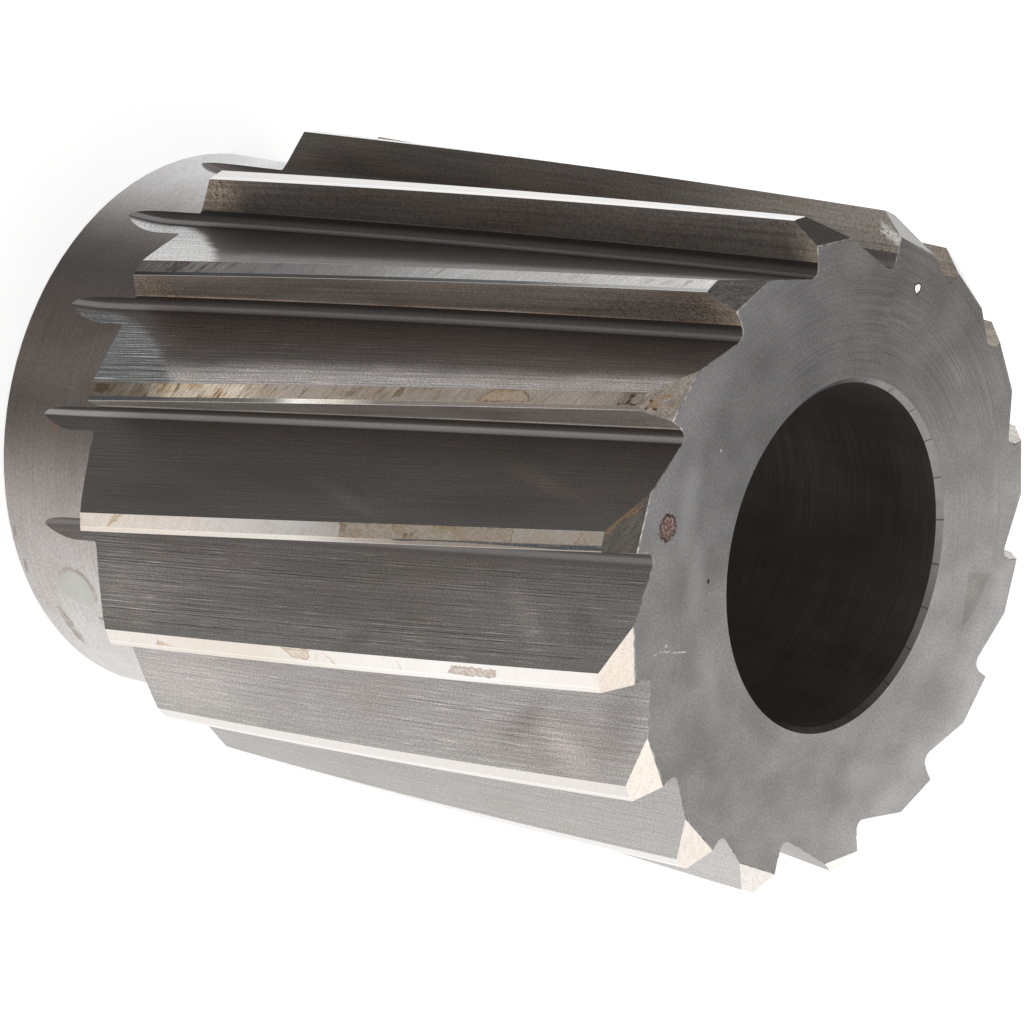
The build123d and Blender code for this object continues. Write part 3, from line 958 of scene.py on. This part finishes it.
# Lead chamfers: the backed-off facets at the front of the teeth that do the cutting, ground bright with
# fine streaks across the facet. Each tooth's facet has its own painted reflection tone, dark on some teeth.
# Some keep an olive or orange film of old oil.
lead_reflection_tones = (
    (80, 75, 72), (150, 149, 148), (205, 203, 200), (205, 201, 197), (205, 201, 197), (208, 203, 198),
    (214, 208, 202), (224, 218, 211), (235, 229, 222), (233, 227, 221), (239, 230, 221), (246, 236, 226),
    (239, 228, 216), (110, 105, 98), (178, 169, 159), (112, 109, 107),
)
speckled_leads = (1.5,) + (1,) * 8 + (0.7, 0.6, 0.55, 0.55, 1.6, 1.7, 2.2)
gold_streaks = (
    (13, 5, 125, 3.6, 0.22, 36), (13, 5.6, 125.9, 2, 0.2, 40), (13, 3, 123.9, 1.2, 0.2, 30),
    (14, 1.5, 124.6, 1.3, 0.8, 30), (14, 3, 125.2, 1.6, 0.5, 40), (14, 2.2, 126.2, 1.4, 0.3, 20),
)
rust_spots = ((14, 0.9, 124.9, 0.3, 0.26), (14, 0.5, 124.1, 0.3, 0.22), (14, 1.8, 124.3, 0.24, 0.3))

steel = Finish("lead_chamfer", roughness=0.26, on_teeth=True)
streaks = steel.grain((0.5, 2.4, 6.1), 4, turn=-20)
speckle = steel.grain((4, 4, 6.1), 3)
# Painted reflection: one tone for each tooth's facet.
steel.colour = steel.by_tooth(lead_reflection_tones)
stirred = steel.stirred((0.9, 0.9, 1), (0.7, 0.7, 0))
steel.coat((178, 138, 88), steel.marks(gold_streaks, 0.8, stirred), 0.55)
steel.coat((92, 60, 36), steel.marks(rust_spots, place=stirred), 0.8)
uneven = steel.fade(speckle, 0.3, 0.7, -0.12, 0.12)
uneven = steel.calc("ADD", uneven, steel.fade(streaks, 0.3, 0.7, -0.09, 0.09))
steel.tint(steel.calc("MULTIPLY_ADD", uneven, steel.number(speckled_leads), 1))
steel.done(streaks, 0.001)


# Cutting faces: the ground side of each tooth that meets the work, brown with the tint of heat and speckled
# with fine rust towards both ends. Each tooth's face has its own tone of painted shade and reflection.
# A fine step parts it from the milled wall below.
rake_shade_tones = (
    (92, 86, 81), (152, 142, 133), (178, 168, 157), (226, 220, 213), (222, 218, 214), (200, 196, 192),
    (190, 186, 182), (190, 185, 181), (190, 185, 180), (190, 184, 179), (190, 184, 179), (190, 184, 179),
    (190, 183, 177), (194, 186, 178), (190, 178, 168), (132, 125, 119),
)
beige_tones = (
    ((172, 165, 156), (170, 160, 150), (196, 188, 178), (226, 220, 212), (220, 214, 208), (210, 204, 198))
    + ((205, 198, 190),) * 7 + ((226, 212, 196), (212, 195, 174), (196, 182, 164))
)
rust_ends = (
    (15, 22.5, 26, 7, 8.5), (14, 20.5, 25, 7, 11), (14, 20.5, 121, 4.6, 8), (15, 24.2, 121.4, 1.2, 2.2),
)
spotted_ends = ((14, 20.5, 113, 4.2, 13), (0, 23, 104, 1.4, 5), (0, 22, 124, 5, 5), (13, 20, 123, 4, 6))
beige_ends = (
    (15, 22, 24, 8, 6.6), (0, 22, 124, 12, 44), (14, 21, 24, 8, 8), (0, 22, 126, 9, 8), (15, 20, 127, 8, 5),
    (14, 20, 127, 8, 7),
)
highlight_strip = ((24.6, 123.4), (22.9, 127.2), (21.2, 127.2), (23, 123.6))

steel = Finish("cutting_face", roughness=0.4, anisotropy=0.4, metallic=0.7, on_teeth=True)
steel.brushed(direction_type="UV_MAP", uv_map="across_height")
lines = steel.grain((2.6, 0.05, 7.9), 3)
clouds = steel.grain((0.16, 0.05, 3.1), 4)
# Painted shade and reflection: one tone for each tooth's cutting face.
steel.colour = steel.by_tooth(rake_shade_tones)
steel.coat((122, 106, 92), steel.fade(clouds, 0.42, 0.75, 0, 0.45))
stirred = steel.stirred((0.5, 0.4, 1), (2, 3, 0))
beige = steel.product(steel.marks(beige_ends, 0.95, stirred), 0.8)
steel.colour = steel.blend(beige, steel.colour, steel.by_tooth(beige_tones))
# Painted highlight: a near-white strip at the front end of tooth 0's cutting face.
steel.coat((246, 242, 236), steel.fade(steel.depth_in(highlight_strip, 0), -0.3, 0.5, 0, 0.75))
steel.coat((40, 36, 34), steel.fade(lines, 0.62, 0.3, 0, 0.3))
steel.mottle(steel.grain((2.8, 2.6, 6.7), 2), 0.24)
pits = steel.fade(steel.grain((3.2, 3, 2.7), 3), 0.5, 0.6)
steel.coat((104, 70, 48), steel.marks(rust_ends, 0.8, stirred), pits, 0.75)
spots = steel.fade(steel.grain((2.4, 2.2, 8.3), 3), 0.57, 0.66)
steel.coat((100, 62, 46), steel.marks(spotted_ends, 0.7, stirred), spots, 0.8)
steel.done(lines, 0.004)


# Cutting end: faced in the lathe, so that fine arcs run round it, and clouded by handling. Its tone round the
# axis, in an inner band and a rim band, is painted sheen and reflection. It carries a rust-brown oval, a
# bright chip, a few pale scratches and an olive film near the rim.
end_sheen_tones = (
    (-180, 99, 97, 96), (-150, 95, 94, 94), (-130, 100, 99, 99), (-110, 110, 109, 109), (-90, 121, 120, 120),
    (-70, 135, 133, 132), (-50, 139, 137, 136), (-30, 131, 129, 128), (-10, 132, 129, 127),
    (10, 129, 126, 124), (30, 135, 133, 132), (50, 147, 145, 144), (70, 154, 152, 151), (90, 161, 159, 158),
    (110, 152, 149, 147), (130, 141, 138, 136), (150, 121, 118, 116), (180, 99, 96, 94),
)
end_rim_sheen_tones = (
    (-180, 98, 96, 95), (-170, 102, 100, 99), (-150, 106, 105, 105), (-130, 118, 117, 117),
    (-110, 126, 125, 125), (-90, 136, 135, 135), (-70, 142, 140, 139), (-50, 139, 137, 136),
    (-30, 132, 130, 129), (-10, 129, 126, 124), (10, 136, 133, 131), (30, 154, 152, 151), (50, 168, 166, 165),
    (70, 175, 173, 172), (90, 173, 171, 170), (110, 165, 162, 160), (130, 134, 131, 129),
    (150, 116, 113, 111), (180, 98, 95, 93),
)
end_rust = (((1, -40.2, 127), (2.1, 2.05, 1)),)
end_rust_middle = (((1, -40.2, 127), (1.75, 1.8, 1)),)
end_film = ((-1.9, 33.2), (-2.4, 39.7), (4, 37.2), (7.4, 34.6))
end_chip = ((-40.25, 5.3), (-39.85, 4.6), (-39.2, 4.8), (-38.85, 5.3), (-39.4, 5.9), (-40.1, 5.9))
end_chip_crack = ((-40, 5.3), (-39.9, 5.2), (-39.1, 5.45), (-39.2, 5.55))
end_scratches = (
    ((17.7, -36.2), (17.5, -36.2), (17.3, -33.9), (17.5, -33.9)),
    ((17.5, -33.2), (17.3, -33.2), (16.9, -30.4), (17.1, -30.4)),
    ((16.9, -35.2), (16.5, -35.2), (16.5, -34.8), (16.9, -34.8)),
    ((18.4, -37.4), (18.1, -37.4), (17.9, -36.8), (18.2, -36.8)),
    ((-10.5, -32.3), (-10.9, -32.3), (-10.9, -32), (-10.5, -32)),
)
end_dots = (((7, -28.8, 127), (0.42, 0.36, 1)),)
end_haze = (
    ((-3, -36.5, 127), (11, 3.4, 1), 8), ((8, -31.5, 127), (9, 3, 1), 12), ((20, -24, 127), (12, 3.2, 1), 35),
    ((30, 20, 127), (5, 10, 1), 20),
)

steel = Finish("front_face", roughness=0.4, anisotropy=0.45)
steel.brushed(direction_type="RADIAL", axis="Z")
level = steel.add("CombineXYZ", {0: steel.x, 1: steel.y})[0]
radius = steel.add("VectorMath", {0: level}, operation="LENGTH")["Value"]
around = steel.add("CombineXYZ", {0: radius, 1: steel.turn, 2: 0})[0]
arcs = steel.grain((3.8, 1.4, 1), 2, place=around)
clouds = steel.grain((0.14, 0.11, 0), 6)
fine = steel.grain((2.6, 2.6, 0), 3)
# Painted sheen and reflection: the tone changes round the axis, in an inner band and a rim band.
inner_sheen, rim_sheen = steel.by_azimuth(end_sheen_tones), steel.by_azimuth(end_rim_sheen_tones)
steel.colour = steel.blend(steel.fade(radius, 35, 44), inner_sheen, rim_sheen)
steel.mottle(clouds, 0.13, reach=0.2)
turned_side = steel.product(steel.fade(steel.x, 4, -26), steel.fade(steel.y, -34, -6))
arc_depth = steel.calc("MULTIPLY_ADD", turned_side, 0.8, 0.12)
steel.tint(steel.calc("MULTIPLY_ADD", steel.centred(arcs), arc_depth, 1))
steel.mottle(fine, 0.16)
stirred = steel.stirred((0.5, 0.5, 0), (1, 1, 0))
steel.coat((190, 190, 190), steel.ovals(end_haze, 0.98, stirred), 0.22)
steel.tint((0.68, 0.66, 0.58, 1), steel.fade(steel.depth_in(end_film), -0.1, 0.5, 0, 0.5))
scratched = 0.0
for corners in end_scratches:
    scratch = steel.fade(steel.depth_in(corners), -0.06, 0.04)
    scratched = steel.calc("MAXIMUM", scratched, scratch)
steel.coat((216, 215, 214), scratched, steel.fade(fine, 0.35, 0.55, 0.1, 0.7))
rough = steel.stirred((1.2, 1.2, 0), (0.8, 0.8, 0))
middle = steel.ovals(end_rust_middle, 0.35, rough)
rust_tone = steel.blend(middle, shade(68, 55, 52), shade(108, 84, 78))
rust_tone = steel.blend(steel.fade(fine, 0.5, 0.62, 0, 0.6), rust_tone, shade(186, 166, 161))
steel.colour = steel.blend(steel.ovals(end_rust, 0.12, rough), steel.colour, rust_tone)
chip = steel.depth_in(end_chip)
steel.coat((58, 56, 54), steel.fade(chip, -0.3, -0.16))
steel.coat((255, 255, 255), steel.fade(chip, -0.04, 0.06))
steel.coat((92, 90, 88), steel.fade(steel.depth_in(end_chip_crack), -0.06, 0.04, 0, 0.7))
steel.coat((52, 48, 46), steel.ovals(end_dots, 0.4))
steel.done(arcs, 0.003)


# Broken edge: the stone that took the sharpness off the cutting end's outline left a thin bright line,
# which fine noise breaks up.
steel = Finish("edge_break", roughness=0.55)
chips = steel.grain((0.9, 0.9, 0), 4)
steel.colour = steel.tones(chips, ((0.35, 104, 102, 100), (0.62, 172, 170, 167)))
steel.done()


# Bore: ground to fit its arbor and dark with old oil, with faint rings round it and brown clouds. Fine
# radial ticks at equal parts of a turn mark the turned chamfer at its front mouth.
chamfer_shade_tones = (
    (-180, 150, 148, 147), (-140, 176, 174, 172), (-95, 186, 184, 182), (-60, 150, 148, 147),
    (-25, 60, 58, 57), (25, 58, 57, 56), (50, 88, 86, 84), (80, 128, 126, 124), (130, 142, 140, 138),
    (180, 150, 148, 147),
)
tick_count = 24
first_tick_degrees = 11.8

steel = Finish("bore", roughness=0.4, anisotropy=0.3, metallic=0.4)
rings = steel.grain((0.08, 0.08, 2.6), 2)
streaks = steel.grain((0.28, 0.28, 0.012), 2)
clouds = steel.grain((0.05, 0.05, 0.04), 4)
steel.colour = steel.tones(clouds, ((0.35, 74, 72, 71), (0.65, 93, 90, 87)))
steel.tint((2.1, 2.08, 2.05, 1), steel.fade(steel.z, 120, 94))
steel.mottle(rings, 0.14)
steel.tint(steel.fade(streaks, 0.35, 0.7, 0.95, 1.08))
steel.done(rings, 0.001)

steel = Finish("bore_chamfer", roughness=0.32)
part = steel.product(steel.turn, tick_count / (2 * math.pi))
part = steel.calc("FRACT", steel.calc("SUBTRACT", part, first_tick_degrees * tick_count / 360))
tick = steel.fade(steel.calc("ABSOLUTE", steel.centred(part)), 0.025, 0.012)
# Painted shade and reflection: the chamfer's tone changes round the mouth, dark on the +X side.
steel.colour = steel.by_azimuth(chamfer_shade_tones)
steel.coat((96, 92, 90), steel.fade(steel.grain((0.8, 0.8, 0.8), 4), 0.3, 0.7, 0, 0.25))
steel.coat((40, 38, 37), tick, 0.6)
steel.done()


# Driving end: faced off and milled across for the slots, in the plain satin grey of the neck, with faint
# milling lines along the slots.
steel = Finish("driving_end", roughness=0.38)
lines = steel.grain((0.05, 2.4, 2.4), 4)
clouds = steel.grain((0.06, 0.06, 0.06), 4)
steel.colour = steel.tones(clouds, ((0.3, 132, 128, 125), (0.7, 166, 162, 158)))
steel.coat((100, 96, 93), steel.fade(lines, 0.4, 0.65, 0, 0.3))
steel.done(lines, 0.003)


# Studio: a white floor that keeps the reamer's soft shadow, a sky that is bright on the reamer's +X side
# and dim opposite, and one soft lamp.
floor_reach = 3.0
floor_corners = np.array(((-1, -1, 0), (1, -1, 0), (1, 1, 0), (-1, 1, 0))) * floor_reach
floor_mesh = bpy.data.meshes.new("floor")
floor_mesh.from_pydata(floor_corners, [], [(0, 1, 2, 3)])
floor = bpy.data.objects.new("floor", floor_mesh)
bpy.context.scene.collection.objects.link(floor)

paper_glow = 0.82
paper = bpy.data.materials.new("paper")
paper.use_nodes = True
paper_tree = paper.node_tree
paper_shader = paper_tree.nodes["Principled BSDF"]
paper_shader.inputs["Base Color"].default_value = (0.3, 0.3, 0.3, 1.0)
paper_shader.inputs["Roughness"].default_value = 1.0
paper_shader.inputs["Specular IOR Level"].default_value = 0.0
paper_shader.inputs["Emission Color"].default_value = (1.0, 1.0, 1.0, 1.0)
light_path = paper_tree.nodes.new("ShaderNodeLightPath")
seen = light_path.outputs["Is Camera Ray"]
for other in ("Is Glossy Ray", "Is Transmission Ray"):
    either = paper_tree.nodes.new("ShaderNodeMath")
    either.operation = "MAXIMUM"
    paper_tree.links.new(seen, either.inputs[0])
    paper_tree.links.new(light_path.outputs[other], either.inputs[1])
    seen = either.outputs[0]
glow = paper_tree.nodes.new("ShaderNodeMath")
glow.operation = "MULTIPLY"
glow.inputs[1].default_value = paper_glow
paper_tree.links.new(seen, glow.inputs[0])
paper_tree.links.new(glow.outputs[0], paper_shader.inputs["Emission Strength"])
floor_mesh.materials.append(paper)

world = bpy.data.worlds.new("world")
bpy.context.scene.world = world
world.use_nodes = True
sky = world.node_tree
bright_azimuth = math.radians(10)
bright_side = (math.cos(bright_azimuth), math.sin(bright_azimuth), 0)
side_range = (-0.35, 0.5)
sky_strengths = (0.55, 1.08)
direction = sky.nodes.new("ShaderNodeTexCoord").outputs["Generated"]
side = sky.nodes.new("ShaderNodeVectorMath")
side.operation = "DOT_PRODUCT"
side.inputs[1].default_value = bright_side
sky.links.new(direction, side.inputs[0])
level = sky.nodes.new("ShaderNodeMapRange")
level.interpolation_type = "SMOOTHSTEP"
for index, value in enumerate(side_range + sky_strengths, 1):
    level.inputs[index].default_value = value
sky.links.new(side.outputs["Value"], level.inputs["Value"])
sky.links.new(level.outputs[0], sky.nodes["Background"].inputs["Strength"])
sky.nodes["Background"].inputs["Color"].default_value = (1.0, 0.99, 0.98, 1.0)

lamp_data = bpy.data.lights.new("lamp", "SUN")
lamp_data.energy = 1.3
lamp_data.angle = math.radians(30)
lamp = bpy.data.objects.new("lamp", lamp_data)
lamp_azimuth = math.radians(60)
lamp_elevation = math.radians(76)
lamp_from = Vector((math.cos(lamp_azimuth), math.sin(lamp_azimuth), math.tan(lamp_elevation)))
lamp.matrix_world = lamp_from.to_track_quat("Z", "Y").to_matrix().to_4x4()
bpy.context.scene.collection.objects.link(lamp)
bpy.context.scene.view_settings.view_transform = "Standard"
